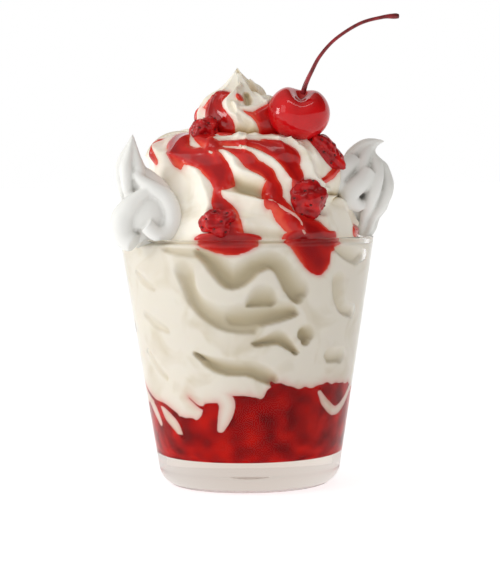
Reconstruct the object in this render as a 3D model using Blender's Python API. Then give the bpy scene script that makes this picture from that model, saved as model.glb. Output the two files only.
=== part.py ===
"""Ice cream sundae served in a straight-sided tumbler.

Strawberry sauce lies on the floor of the glass. Vanilla soft serve fills the glass above it and is
coiled up into a three-tier swirl from a star nozzle. Strawberry pieces, a cherry on its stem and two
piped dollops of whipped cream sit on the swirl. Metres, +Z up, the origin under the glass on the table.
Angles run counter-clockwise from +X seen from above, so the front of the sundae is at -90 degrees.
"""

import math

import bmesh
import bpy
from mathutils import Matrix, Vector, noise

MM = 0.001
CLEARANCE = 0.3 * MM  # gap between two pieces that touch

# The glass
GLASS_HEIGHT = 86 * MM
RIM_RADIUS = 44 * MM
FOOT_RADIUS = 30.4 * MM  # where the line of the wall would meet the table
FOOT_ROUNDING = 7.5 * MM
WALL = 2.2 * MM
BASE_THICKNESS = 10.5 * MM
FLOOR_ROUNDING = 8 * MM
TAPER = math.atan2(RIM_RADIUS - FOOT_RADIUS, GLASS_HEIGHT)
GLASS_SIDES = 40

# The sauce on its floor
SAUCE_HEIGHT = 32 * MM  # middle level of the sauce's wavy top
SAUCE_WAVES = ((1, 2.6, 3.0 * MM), (3, -1.0, 2.0 * MM), (7, 2.0, 1.2 * MM))  # per round, phase, height

# The soft serve in the glass
FILL_TOP = 83.5 * MM  # where the filling leaves the wall of the glass
FOLD_DEPTH = 3 * MM  # how far the filling stands back from the glass between its folds
FOLD_PITCH = 21 * MM
FILL_ROWS = 12

# The coil of soft serve: turns from the back, then radius, height and thickness of the rope there
COIL = (
    (0.00, 26.5 * MM, 82.0 * MM, 12.5 * MM),
    (0.25, 26.5 * MM, 87.5 * MM, 12.5 * MM),
    (0.50, 27.0 * MM, 87.5 * MM, 12.5 * MM),
    (0.75, 26.5 * MM, 89.5 * MM, 12.5 * MM),
    (1.00, 24.5 * MM, 97.5 * MM, 12.5 * MM),
    (1.25, 22.5 * MM, 107.0 * MM, 12.5 * MM),
    (1.50, 23.0 * MM, 108.5 * MM, 12.5 * MM),
    (1.75, 23.0 * MM, 110.0 * MM, 12.5 * MM),
    (2.00, 16.5 * MM, 118.0 * MM, 11.5 * MM),
    (2.25, 10.5 * MM, 122.5 * MM, 10.5 * MM),
    (2.50, 9.5 * MM, 125.5 * MM, 10.5 * MM),
    (2.75, 8.5 * MM, 127.5 * MM, 10.5 * MM),
    (3.00, 5.0 * MM, 130.0 * MM, 8.0 * MM),
    (3.25, 3.5 * MM, 134.5 * MM, 5.0 * MM),
    (3.45, 0.0 * MM, 143.8 * MM, 0.6 * MM),
)
LAST_TURN = COIL[-1][0]
LEAN_HEIGHT = 128 * MM  # above this the swirl leans to the left
TIP_LEAN = 3.4 * MM
RIDGES = 16  # ridges of the star nozzle in a turn of the coil
LATE_RIDGES = 11  # and on the narrow turns above
LATE_TURN = 2.25
GROOVE_DEPTH = 0.38  # share of the rope's thickness
COLUMNS = 48  # columns of points in a turn, three to a ridge
SLANT = 5  # columns that a ridge moves on while it climbs over the rope
ROPE_ROWS = 7

# The cherry and its stem
CHERRY_CENTRE = Vector((18.5, -17.0, 128.3)) * MM
CHERRY_RADIUS = 10.4 * MM
CHERRY_HALF_HEIGHT = 9.4 * MM
DIMPLE_DEPTH = 4.2 * MM
DIMPLE_RADIUS = 3.6 * MM
CHERRY_LEAN = (math.radians(22), math.radians(8))  # towards the front, and to the right
STEM_ROUTE = (  # x, y, z and thickness in millimetres, from the dimple to the knob at the end
    (19.4, -19.4, 134.3, 0.95),
    (20.4, -21.0, 137.4, 0.8),
    (22.2, -22.0, 141.2, 0.7),
    (25.3, -22.5, 146.7, 0.62),
    (30.6, -22.5, 152.3, 0.58),
    (38.8, -20.5, 157.4, 0.6),
    (46.5, -17.5, 159.6, 0.65),
    (50.6, -16.0, 160.0, 0.95),
    (52.0, -15.5, 160.0, 0.8),
)

# Strawberry pieces: centre and half sizes in millimetres, then turns about X, Y and Z in degrees
STRAWBERRIES = (
    ((-14.5, -17.5, 122.5), (5.8, 4.6, 5.4), (10, 25, 0)),
    ((20.5, -27.5, 98.5), (7.4, 5.0, 7.2), (-10, 10, 30)),
    ((28.0, -16.0, 115.0), (8.2, 4.0, 4.0), (0, 38, 20)),
    ((-11.5, -36.0, 92.0), (7.2, 4.6, 5.2), (0, -8, -15)),
)

# Whipped cream: ropes of (x, y, z, thickness) in millimetres, joined into two dollops on the rim
LEFT_DOLLOP = {
    "body": ((-33, -22, 84, 4), (-34, -22, 88, 9.5), (-34, -22, 94, 10), (-34, -22, 100, 7), (-35, -23, 104, 3)),
    "flame": (
        (-34.0, -23, 96, 7.0),
        (-36.5, -24, 101, 6.8),
        (-37.6, -24, 107, 6.2),
        (-38.4, -24, 112.5, 4.0),
        (-38.2, -24, 117.5, 1.8),
        (-37.7, -24, 121.4, 0.25),
    ),
    "curl": (
        (-36, -25, 99, 4.4),
        (-32, -27, 102.5, 4.4),
        (-27, -27.5, 102.5, 4.4),
        (-24.4, -28, 98.5, 4.4),
        (-24.6, -28, 94.0, 4.2),
        (-27, -29, 90.5, 3.8),
        (-30.5, -31, 89.3, 3.6),
        (-33.5, -32, 91.3, 3.4),
    ),
    "lobe": (
        (-32, -26, 101, 3.5),
        (-37, -28, 99.5, 4.6),
        (-40.6, -27.5, 95, 4.9),
        (-40.8, -27.5, 89.5, 4.9),
        (-38.5, -28.5, 86.0, 4.2),
        (-35, -30, 86.5, 2.8),
    ),
}
RIGHT_DOLLOP = {
    "body": (
        (38.0, 4, 85.5, 3.5),
        (38.5, 4, 88.5, 7.5),
        (39.0, 4, 93, 9.2),
        (40.0, 4, 98, 11.0),
        (40.6, 4, 103, 11.0),
        (41.0, 4, 108, 9.4),
        (41.2, 4, 113, 6.8),
        (42.4, 4, 116.4, 3.6),
        (45.2, 4, 117.9, 1.5),
        (48.4, 4, 118.3, 0.25),
    ),
    "curl": ((36, -4, 110.5, 3), (32, -8.5, 109.5, 3), (29.8, -11.5, 105, 3), (32, -9.5, 100.5, 3), (37, -4, 99, 3)),
}


def clear_scene():
    for obj in list(bpy.data.objects):
        bpy.data.objects.remove(obj)


def finish(name, colour, roughness, transmission=0.0):
    """A Principled material with a piece's plain colour."""
    material = bpy.data.materials.get(name) or bpy.data.materials.new(name)
    material.use_nodes = True
    shader = material.node_tree.nodes["Principled BSDF"]
    shader.inputs["Base Color"].default_value = (*colour, 1)
    shader.inputs["Roughness"].default_value = roughness
    shader.inputs["Metallic"].default_value = 0
    shader.inputs["Transmission Weight"].default_value = transmission
    return material


# ---------------------------------------------------------------- ways of making a solid


def solid(name, points, faces, material):
    """An object of triangles, so that a copy of it swells evenly and every face is flat."""
    mesh = bpy.data.meshes.new(name)
    mesh.from_pydata(points, [], faces)
    shape = bmesh.new()
    shape.from_mesh(mesh)
    bmesh.ops.triangulate(shape, faces=shape.faces[:])
    shape.to_mesh(mesh)
    shape.free()
    mesh.materials.append(material)
    mesh.shade_smooth()
    mesh.set_sharp_from_angle(angle=math.radians(40))
    obj = bpy.data.objects.new(name, mesh)
    bpy.context.scene.collection.objects.link(obj)
    return obj


def loft(name, rings, material):
    """A closed solid through rings of points that run counter-clockwise round it from its low end."""
    sides = len(rings[0])
    points = [point for ring in rings for point in ring]
    faces = []
    for low in range(0, len(points) - sides, sides):
        for k in range(sides):
            after = (k + 1) % sides
            faces.append((low + k, low + after, low + sides + after, low + sides + k))
    for first, order in ((0, -1), (len(points) - sides, 1)):
        centre = len(points)
        points.append(sum(points[first : first + sides], Vector()) / sides)
        for k in range(sides):
            edge = (first + k, first + (k + 1) % sides)
            faces.append((centre, *edge[::order]))
    return solid(name, points, faces, material)


def ring(radius, height, sides=GLASS_SIDES):
    """A level ring about the Z axis."""
    angles = [math.tau * k / sides for k in range(sides)]
    return [Vector((radius * math.cos(a), radius * math.sin(a), height)) for a in angles]


def between(table, at):
    """The values of a table at a place between its rows, on a smooth curve through them."""
    last = len(table) - 1
    row = max(k for k in range(last) if k == 0 or table[k][0] <= at)
    before, start, end, after = (table[max(0, min(last, row + k))] for k in (-1, 0, 1, 2))
    span = end[0] - start[0]
    t = max(0.0, min(1.0, (at - start[0]) / span))
    values = []
    for v0, v1, v2, v3 in list(zip(before, start, end, after))[1:]:
        leave = (v2 - v0) * span / max(end[0] - before[0], span)
        arrive = (v3 - v1) * span / max(after[0] - start[0], span)
        curve = (2 * t**3 - 3 * t**2 + 1) * v1 + (3 * t**2 - 2 * t**3) * v2
        values.append(curve + (t**3 - 2 * t**2 + t) * leave + (t**3 - t**2) * arrive)
    return values


def sweep(name, route, steps, sides, material, lobes=0, grooves=0.0, twist=0.0):
    """A rope along a smooth curve through (x, y, z, thickness) places, with its sections square to it.

    Its section is a star of so many lobes, which turns by the twist from one end to the other.
    """
    table = [(k, *(value * MM for value in place)) for k, place in enumerate(route)]
    stations = [between(table, (len(route) - 1) * k / steps) for k in range(steps + 1)]
    centres = [Vector(station[:3]) for station in stations]
    outward = Vector((0, -1, 0))
    rings = []
    for k, centre in enumerate(centres):
        along = (centres[min(k + 1, steps)] - centres[max(k - 1, 0)]).normalized()
        outward = (outward - along * outward.dot(along)).normalized()
        across = along.cross(outward)
        section = []
        for side in range(sides):
            angle = math.tau * side / sides
            reach = stations[k][3] * (1 - grooves * abs(math.sin(lobes * angle / 2)) ** 0.8)
            turned = angle + twist * k / steps
            section.append(centre + reach * (math.cos(turned) * outward + math.sin(turned) * across))
        rings.append(section)
    return loft(name, rings, material)


def combine(obj, other, operation):
    """Joins another solid to obj, or cuts it away. The other stays in the scene as a hidden helper."""
    other.hide_render = True
    other.display_type = "WIRE"
    boolean = obj.modifiers.new(f"{operation.lower()} {other.name}", "BOOLEAN")
    boolean.operation = operation
    boolean.solver = "EXACT"
    boolean.object = other


def make_room(obj, neighbour):
    """Cuts a neighbour's own shape out of obj, larger all round by the clearance."""
    cutter = neighbour.copy()
    cutter.name = f"room for {neighbour.name} in {obj.name}"
    cutter.modifiers.clear()
    bpy.context.scene.collection.objects.link(cutter)
    swell = cutter.modifiers.new("clearance", "DISPLACE")
    swell.mid_level = 0
    swell.strength = 1.3 * CLEARANCE  # a facet lies a little nearer than the corners that move out
    combine(obj, cutter, "DIFFERENCE")


# ---------------------------------------------------------------- the glass


def outer_radius(height):
    return FOOT_RADIUS + height * math.tan(TAPER)


def inner_radius(height):
    return outer_radius(height) - WALL / math.cos(TAPER)


def contents_radius(height):
    return inner_radius(height) - CLEARANCE / math.cos(TAPER)


def corner(foot_radius, floor, rounding, steps):
    """(radius, height) points round the corner between a floor and a wall with the glass's taper."""
    centre = foot_radius + rounding * (math.tan(TAPER) - 1 / math.cos(TAPER))
    for k in range(steps + 1):
        angle = -math.pi / 2 + (math.pi / 2 - TAPER) * k / steps
        yield centre + rounding * math.cos(angle), floor + rounding * (1 + math.sin(angle))


def rim(steps):
    """(radius, height) points over the fire-polished rim, from outside to inside."""
    rounding = WALL / 2
    middle = RIM_RADIUS - rounding / math.cos(TAPER)
    for k in range(steps + 1):
        angle = -TAPER + math.pi * k / steps
        yield middle + rounding * math.cos(angle), GLASS_HEIGHT - rounding * (1 - math.sin(angle))


def make_glass():
    foot = corner(FOOT_RADIUS, 0.0, FOOT_ROUNDING, 5)
    floor = list(corner(inner_radius(BASE_THICKNESS), BASE_THICKNESS, FLOOR_ROUNDING, 4))
    rings = [ring(*point) for point in (*foot, *rim(3), *reversed(floor))]
    return loft("glass", rings, finish("clear_glass", (0.95, 0.96, 0.95), 0.03, 1.0))


# ---------------------------------------------------------------- the sauce


def sauce_top(angle, share):
    """Height of the sauce's top at an angle, at a share of the way from the middle to the wall."""
    waves = sum(height * math.sin(count * angle + phase) for count, phase, height in SAUCE_WAVES)
    return SAUCE_HEIGHT + share * waves


def sauce_ring(share, lift, sides, direction):
    """A ring of points on the sauce's wavy top, clear of the wall of the glass and lifted."""
    points = []
    for k in range(sides):
        angle = math.pi / 2 + direction * math.tau * k / sides
        height = sauce_top(angle, share) + lift
        radius = share * contents_radius(height)
        points.append(Vector((radius * math.cos(angle), radius * math.sin(angle), height)))
    return points


def make_sauce():
    floor = BASE_THICKNESS + CLEARANCE
    rings = []
    for radius, height in corner(contents_radius(floor), floor, FLOOR_ROUNDING - CLEARANCE, 3):
        rings.append([Vector((-point.y, point.x, point.z)) for point in ring(radius, height)])
    for share in (1.0, 0.7, 0.35):
        rings.append(sauce_ring(share, 0, GLASS_SIDES, 1))
    return loft("strawberry_sauce", rings, finish("strawberry_sauce", (0.55, 0.02, 0.015), 0.15))


# ---------------------------------------------------------------- the soft serve


def fold(angle, height):
    """How far the filling stands back from the glass between the folds of its own rope."""
    sway = 0.25 * math.sin(2 * angle + 0.7) + 0.15 * math.sin(5 * angle)
    gap = max(0.0, math.cos(math.tau * (height / FOLD_PITCH + angle / math.tau + sway))) ** 3
    ends = math.sin(math.pi * (height - SAUCE_HEIGHT) / (FILL_TOP - SAUCE_HEIGHT))
    return FOLD_DEPTH * gap * max(0.0, ends)


def filling_rings(sides):
    """Rings over the sauce and up the wall of the glass, clockwise from the back."""
    rings = [sauce_ring(share, CLEARANCE, sides, -1) for share in (0.35, 0.7, 1.0)]
    for row in range(1, FILL_ROWS + 1):
        points = []
        for k in range(sides):
            angle = math.pi / 2 - math.tau * k / sides
            height = sauce_top(angle, 1) + (FILL_TOP - sauce_top(angle, 1)) * row / FILL_ROWS
            radius = contents_radius(height) - fold(angle, height)
            points.append(Vector((radius * math.cos(angle), radius * math.sin(angle), height)))
        rings.append(points)
    return rings


def crease_between(low, high):
    """Where two round sections (radius, height, thickness) of the rope meet on their outer side."""
    start, end = Vector(low[:2]), Vector(high[:2])
    distance = (end - start).length
    along = (end - start) / distance
    reach = (distance**2 + low[2] ** 2 - high[2] ** 2) / (2 * distance)
    half = math.sqrt(max(0.0, low[2] ** 2 - reach**2))
    return start + min(reach, distance) * along + half * Vector((along.y, -along.x))


def crease(turn):
    """(radius, height) of the crease between the coil at a turn and the next turn above it."""
    foot = Vector((inner_radius(FILL_TOP) - 3 * MM, FILL_TOP + 1 * MM))
    if turn <= 0:
        return foot
    if turn >= LAST_TURN - 1:
        return Vector(between(COIL, LAST_TURN)[:2])
    grown = min(1.0, turn / 0.3)
    meeting = crease_between(between(COIL, turn), between(COIL, turn + 1))
    return foot.lerp(meeting, grown * grown * (3 - 2 * grown))


def groove(turn):
    """How deep the rope's surface lies at a place along it: 0 on a ridge, 1 in the valley between two."""
    count = RIDGES * min(turn, LATE_TURN) + LATE_RIDGES * max(0.0, turn - LATE_TURN)
    return abs(math.sin(math.pi * count)) ** 0.6


def coil_point(low_turn, high_turn, share):
    """A point on the rope, at a share of the way up a ridge that climbs from one turn to another."""
    turn = low_turn + (high_turn - low_turn) * share
    radius, height, thickness = between(COIL, turn)
    centre = Vector((radius, height))
    low, high = crease(turn - 1) - centre, crease(turn) - centre
    start, end = math.atan2(low.y, low.x), math.atan2(high.y, high.x)
    slope = start + (end - start) * share
    late = max(0.0, min(1.0, (turn - LAST_TURN + 1.3) / 0.4))
    to_low, to_high = (1 - share) ** 4, share ** (4 + 5 * late)  # the tip stands up from the last turn
    depth = GROOVE_DEPTH * groove(high_turn) * math.sin(math.pi * share) ** 0.7
    reach = thickness * (1 - depth) * (1 - to_low - to_high) + low.length * to_low + high.length * to_high
    place = centre + reach * Vector((math.cos(slope), math.sin(slope)))
    angle = math.pi / 2 - math.tau * turn
    lean = TIP_LEAN * (max(0.0, place.y - LEAN_HEIGHT) / (COIL[-1][2] - LEAN_HEIGHT)) ** 1.5
    return Vector((place.x * math.cos(angle) - lean, place.x * math.sin(angle), place.y))


def make_soft_serve():
    """The filling and the coil on it, in one skin.

    The rope's lower edge is the upper edge of the turn below, so the skin has no seam: the points that
    end one column start the column that stands a turn, and the slant of a ridge, further on.
    """
    around = COLUMNS + SLANT
    points = [point for one in filling_rings(around) for point in one]
    filling_end = len(points)
    last_column = around + math.ceil((LAST_TURN - 1) * COLUMNS)
    spots = {}

    def spot(column, row):
        """The number of the point at a column and row of the coil, which starts and ends in one point."""
        column, row = column + around * (row // ROPE_ROWS), row % ROPE_ROWS
        if column == 0 or column >= last_column or (column, row) == (around, 0):
            column, row = (last_column if column >= last_column else 0), 0
        if (column, row) not in spots:
            spots[column, row] = len(points)
            low = column / around if column < around else 1 + (column - around) / COLUMNS
            high = max(low, min(column / COLUMNS, (low + LAST_TURN) / 2))
            points.append(coil_point(low, high, row / ROPE_ROWS))
        return spots[column, row]

    faces = []
    for start in range(0, filling_end, around):
        for k in range(around):
            after = (k + 1) % around
            above = (start + around + k, start + around + after)
            if start + around == filling_end:
                above = (spot(k, 0), spot(k + 1, 0))
            faces.append((start + k, *above, start + after))
    for column in range(last_column):
        for row in range(ROPE_ROWS):
            corners = ((column, row), (column, row + 1), (column + 1, row + 1), (column + 1, row))
            face = list(dict.fromkeys(spot(*place) for place in corners))
            if len(face) > 2:
                faces.append(face)
    faces += [(len(points), k, (k + 1) % around) for k in range(around)]
    points.append(Vector((0, 0, SAUCE_HEIGHT + CLEARANCE)))
    return solid("soft_serve", points, faces, finish("vanilla_soft_serve", (0.9, 0.84, 0.7), 0.4))


# ---------------------------------------------------------------- the toppings


def make_cherry():
    """A round cherry with a dimple at the top, leaning to the front."""
    rings = []
    for degrees in (*range(15, 166, 15), 173):
        polar = math.radians(degrees)
        radius = CHERRY_RADIUS * math.sin(polar)
        dimple = DIMPLE_DEPTH * math.exp(-((radius / DIMPLE_RADIUS) ** 2)) if polar > math.pi / 2 else 0
        rings.append(ring(radius, -CHERRY_HALF_HEIGHT * math.cos(polar) - dimple, 18))
    cherry = loft("cherry", rings, finish("cherry_skin", (0.6, 0.01, 0.02), 0.12))
    forward, right = CHERRY_LEAN
    lean = Matrix.Rotation(right, 4, "Y") @ Matrix.Rotation(forward, 4, "X")
    cherry.matrix_world = Matrix.Translation(CHERRY_CENTRE) @ lean
    return cherry


def make_strawberry(number, centre, half_sizes, turns):
    """A lumpy piece of strawberry."""
    rings = []
    for row in range(1, 7):
        polar = math.pi * row / 7
        section = []
        for k in range(10):
            angle = math.tau * k / 10
            way = Vector((math.sin(polar) * math.cos(angle), math.sin(polar) * math.sin(angle), -math.cos(polar)))
            lump = 1 + 0.35 * noise.noise(way * 2 + Vector((7 * number, 0, 0)))
            section.append(Vector(a * b for a, b in zip(way, half_sizes)) * MM * lump)
        rings.append(section)
    berry = loft(f"strawberry_piece_{number}", rings, finish("strawberry", (0.4, 0.012, 0.015), 0.25))
    berry.location = Vector(centre) * MM
    berry.rotation_euler = [math.radians(turn) for turn in turns]
    return berry


def make_dollop(name, routes, material):
    """A dollop of a few ropes, joined into its body. Returns all its ropes, the body first."""
    body = sweep(name, routes["body"], 12, 15, material, 5, 0.3, 1.6)
    ropes = [body]
    for part, lobes, grooves in (("flame", 5, 0.3), ("curl", 0, 0), ("lobe", 0, 0)):
        if part in routes:
            steps = 2 * len(routes[part]) - 2
            ropes.append(sweep(f"{name}_{part}", routes[part], steps, 8, material, lobes, grooves, 0.8))
            combine(body, ropes[-1], "UNION")
    return ropes


def main():
    clear_scene()
    glass = make_glass()
    make_sauce()
    soft_serve = make_soft_serve()
    cherry = make_cherry()
    sweep("cherry_stem", STEM_ROUTE, 18, 6, finish("cherry_stem", (0.3, 0.03, 0.03), 0.4))
    berries = [make_strawberry(k + 1, *piece) for k, piece in enumerate(STRAWBERRIES)]
    cream = finish("whipped_cream", (0.93, 0.92, 0.89), 0.45)
    left_ropes = make_dollop("whipped_cream_left", LEFT_DOLLOP, cream)
    right_ropes = make_dollop("whipped_cream_right", RIGHT_DOLLOP, cream)
    for dollop in (left_ropes[0], right_ropes[0]):
        make_room(dollop, glass)
    for topping in (cherry, *berries, *left_ropes, *right_ropes):
        make_room(soft_serve, topping)
    for berry in berries:
        make_room(berry, cherry)


main()
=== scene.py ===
"""The looks of an ice cream sundae in a tumbler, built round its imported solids.

Metres, +Z up, the origin under the glass. Angles run counter-clockwise from +X seen from above, so the
front of the sundae is at -90 degrees.
"""

import math

import bmesh
import bpy
import numpy as np
from mathutils import Euler, Matrix, Vector, noise


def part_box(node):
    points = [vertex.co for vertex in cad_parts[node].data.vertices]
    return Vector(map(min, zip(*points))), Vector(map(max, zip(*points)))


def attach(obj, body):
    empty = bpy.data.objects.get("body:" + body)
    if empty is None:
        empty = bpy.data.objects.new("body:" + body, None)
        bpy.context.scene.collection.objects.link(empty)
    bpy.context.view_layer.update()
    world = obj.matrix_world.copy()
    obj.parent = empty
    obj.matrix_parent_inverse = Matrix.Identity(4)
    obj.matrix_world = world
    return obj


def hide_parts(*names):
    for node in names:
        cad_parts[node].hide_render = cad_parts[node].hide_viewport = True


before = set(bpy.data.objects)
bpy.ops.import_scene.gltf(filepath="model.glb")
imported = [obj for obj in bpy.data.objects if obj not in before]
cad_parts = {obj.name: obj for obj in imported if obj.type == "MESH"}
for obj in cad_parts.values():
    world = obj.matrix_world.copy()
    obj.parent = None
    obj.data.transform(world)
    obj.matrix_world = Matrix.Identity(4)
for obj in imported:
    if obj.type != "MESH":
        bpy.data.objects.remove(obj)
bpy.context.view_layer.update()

bpy.ops.object.select_all(action="DESELECT")

# ---------------------------------------------------------------- the tumbler
# A tumbler of clear soda-lime glass, pressed in a mould: straight sides, a thick base with rounded
# edges, and a rim rounded by a flame. It is modelled from a cone that is hollowed out from above.

MM = 0.001
foot_corner, rim_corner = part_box("glass")
GLASS_HEIGHT = rim_corner[2]
RIM_RADIUS = rim_corner[0]
FOOT_RADIUS = 30.4 * MM  # where the line of the wall would meet the table
FOOT_ROUNDING = 7.5 * MM
WALL = 2.2 * MM
BASE_THICKNESS = 10.5 * MM
STIPPLE_HEIGHT = 1.2 * MM
FLOOR_ROUNDING = 9.3 * MM
TAPER = math.atan2(RIM_RADIUS - FOOT_RADIUS, GLASS_HEIGHT)


def outer_radius(height):
    return FOOT_RADIUS + height * math.tan(TAPER)


def inner_radius(height):
    return outer_radius(height) - WALL / math.cos(TAPER)


def linear(colour):
    """Linear RGBA of an sRGB colour such as "#ffcc00"."""
    shares = [int(colour[k : k + 2], 16) / 255 for k in (1, 3, 5)]
    return (*(c / 12.92 if c <= 0.04045 else ((c + 0.055) / 1.055) ** 2.4 for c in shares), 1)


def finish(name, colour, roughness, ior, **sockets):
    """A material of one Principled shader. Its other sockets are named as sheen_weight is."""
    material = bpy.data.materials.new(name)
    material.use_nodes = True
    shader = material.node_tree.nodes["Principled BSDF"]
    sockets = {"base_color": linear(colour), "roughness": roughness, "ior": ior, **sockets}
    for socket in shader.inputs:
        key = socket.name.lower().replace(" ", "_")
        if key in sockets:
            socket.default_value = sockets.pop(key)
    assert not sockets, sockets
    return material


def node(material, kind, inputs=None, **settings):
    """Adds a node with its own settings, and fills its sockets with values or other nodes' outputs."""
    new = material.node_tree.nodes.new(kind)
    for name, value in settings.items():
        setattr(new, name, value)
    for socket, value in (inputs or {}).items():
        if isinstance(value, bpy.types.NodeSocket):
            material.node_tree.links.new(value, new.inputs[socket])
        else:
            new.inputs[socket].default_value = value
    return new


def ramp(material, factor, *stops):
    """A colour ramp through (place, colour) stops."""
    new = node(material, "ShaderNodeValToRGB", {"Fac": factor})
    for element, (place, colour) in zip(new.color_ramp.elements, stops):
        element.position, element.color = place, linear(colour)
    for place, colour in stops[2:]:
        new.color_ramp.elements.new(place).color = linear(colour)
    return new.outputs["Color"]


def join_to(material, socket, value):
    """Links a node's output to a socket of the material's shader."""
    shader = material.node_tree.nodes["Principled BSDF"]
    material.node_tree.links.new(value, shader.inputs[socket])


def select_edges(shape, chosen):
    """Selects the edges whose two ends pass a test, and nothing else."""
    for item in (*shape.verts, *shape.edges, *shape.faces):
        item.select = False
    for edge in shape.edges:
        edge.select_set(all(chosen(vert.co) for vert in edge.verts))
    shape.select_flush_mode()


def round_edge(height, nearest, furthest, width, segments):
    """Bevels the ring of edges at a height whose radius lies between two radii."""
    shape = bmesh.from_edit_mesh(bpy.context.object.data)
    select_edges(shape, lambda at: abs(at.z - height) < 1e-5 and nearest < math.hypot(at.x, at.y) < furthest)
    bmesh.update_edit_mesh(bpy.context.object.data)
    bpy.ops.mesh.bevel(offset=width, segments=segments, profile=0.5)


bpy.ops.mesh.primitive_cone_add(
    vertices=160,
    radius1=FOOT_RADIUS,
    radius2=RIM_RADIUS,
    depth=GLASS_HEIGHT,
    location=(0, 0, GLASS_HEIGHT / 2),
)
tumbler = bpy.context.object
tumbler.name = "tumbler"
bpy.ops.object.transform_apply(location=True)
bpy.ops.object.mode_set(mode="EDIT")
bpy.ops.mesh.select_mode(type="EDGE")
shape = bmesh.from_edit_mesh(tumbler.data)
for face in shape.faces:
    face.select_set(face.normal.z > 0.99)
bmesh.update_edit_mesh(tumbler.data)
bpy.ops.mesh.inset(thickness=WALL / math.cos(TAPER))
bpy.ops.mesh.extrude_region_move(TRANSFORM_OT_translate={"value": (0, 0, BASE_THICKNESS - GLASS_HEIGHT)})
narrowing = inner_radius(BASE_THICKNESS) / inner_radius(GLASS_HEIGHT)
bpy.ops.transform.resize(value=(narrowing, narrowing, 1), center_override=(0, 0, 0))
round_edge(0, 0.5 * FOOT_RADIUS, 2 * FOOT_RADIUS, FOOT_ROUNDING * math.tan(math.pi / 4 - TAPER / 2), 14)
floor_rounding = FLOOR_ROUNDING * math.tan(math.pi / 4 - TAPER / 2)
round_edge(BASE_THICKNESS, 0.5 * FOOT_RADIUS, 2 * FOOT_RADIUS, floor_rounding, 14)
middle = RIM_RADIUS - WALL / 2
round_edge(GLASS_HEIGHT, middle, 2 * middle, 1.05 * MM, 5)
round_edge(GLASS_HEIGHT, 0.5 * middle, middle, 0.95 * MM, 5)
bpy.ops.object.mode_set(mode="OBJECT")
bpy.ops.object.shade_smooth_by_angle(angle=math.radians(40))

# Clear glass with faint reflections. Its IOR is lower than glass's 1.5, which would veil the red sauce
# with the white room. The thick base takes on a warm grey.
glass = finish("pressed_soda_lime_glass", "#fdfdfc", 0.02, 1.2, transmission_weight=1.0)
clarity = node(glass, "ShaderNodeVolumeAbsorption", {"Color": (0.42, 0.24, 0.1, 1), "Density": 11.0})
glass.node_tree.links.new(clarity.outputs["Volume"], glass.node_tree.nodes["Material Output"].inputs["Volume"])
tumbler.data.materials.append(glass)

# The underside is stippled against slipping, so it scatters light and looks pale through the base.
stippled = finish("stippled_glass_foot", "#efe8e2", 0.7, 1.2, transmission_weight=1.0)
place = node(stippled, "ShaderNodeTexCoord").outputs["Object"]
dots = node(stippled, "ShaderNodeTexVoronoi", {"Vector": place, "Scale": 900}).outputs["Distance"]
join_to(stippled, "Base Color", ramp(stippled, dots, (0.1, "#c9c0ba"), (0.4, "#f4efea")))
tumbler.data.materials.append(stippled)
for face in tumbler.data.polygons:
    face.material_index = int(face.center.z < STIPPLE_HEIGHT and face.normal.z < -0.3)
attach(tumbler, "root")
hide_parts("glass")

# ---------------------------------------------------------------- the sauce on the floor of the glass
# Strawberry sauce, a thick red syrup with crushed fruit in it, spooned in first. It reaches just into
# the wall of the glass. Its edge is uneven where the soft serve sank into it, in strands and wisps.

INTO_WALL = 0.12 * MM  # how far what fills the glass reaches into its wall
SAUCE_SIDES = 600
SAUCE_LIMIT = 44 * MM  # no sauce stands higher than this at the wall
SAUCE_ROWS = 90
SAUCE_EDGE = np.array(  # angle from the front to the right in degrees, and height in mm, all round
    (
        (-180, 33), (-160, 31), (-140, 35), (-122, 30), (-104, 32), (-85, 29.5), (-66, 30), (-56, 28),
        (-46, 26.5), (-35, 26), (-29, 27), (-27, 30.5), (-22, 31.5), (-17, 32), (-12, 33.5), (-6, 34.2),
        (0, 34), (7, 33), (11, 36.5), (15, 38), (22, 37.3), (30, 36), (40, 36.3), (50, 37), (60, 36.5),
        (72, 36), (88, 34), (102, 36), (118, 32), (135, 34.5), (150, 31), (165, 33.5), (180, 33),
    ),
    dtype=float,
)
CREAM_STRANDS = (  # soft serve that reaches down into the sauce: (angle, height, half width)
    ((-78, 31, 1.5), (-71, 27, 1.6), (-66, 23, 0.9)),
    ((-60, 29, 1.2), (-56, 26, 1.8), (-50, 23, 1.6), (-46, 20, 0.7)),
    ((-15, 34, 2.6), (-12.5, 31, 2.3), (-14, 27, 2.0), (-17, 22.5, 1.0)),
    ((44, 34, 0.6), (50, 30, 1.3), (60, 27, 1.5), (70, 29, 1.4), (80, 34, 1.2)),
    ((112, 34, 2.4), (116, 30, 2.0), (114, 25, 1.2)),
    ((160, 34, 2.6), (165, 29, 1.8), (163, 24, 1.0)),
    ((-150, 33, 2.6), (-146, 28, 2.0), (-149, 23, 1.0)),
    ((-112, 33, 2.2), (-107, 29, 1.6), (-103, 26, 1.0)),
)
SAUCE_WISPS = (  # thin threads of sauce drawn up over the soft serve
    ((-88, 36, 0.5), (-78, 33, 0.7), (-68, 30.5, 0.8), (-58, 29.5, 0.9), (-48, 26.5, 1.2)),
    ((-36, 33, 0.3), (-31, 30.5, 0.4), (-27, 29.5, 0.7)),
)


def new_piece(name, points, faces, material, smooth=40):
    """A mesh object at the origin from arrays of points and faces, shaded smooth."""
    mesh = bpy.data.meshes.new(name)
    mesh.from_pydata([tuple(point) for point in points], [], faces)
    mesh.materials.append(material)
    mesh.shade_smooth()
    mesh.set_sharp_from_angle(angle=math.radians(smooth))
    piece = bpy.data.objects.new(name, mesh)
    bpy.context.scene.collection.objects.link(piece)
    return piece


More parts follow.
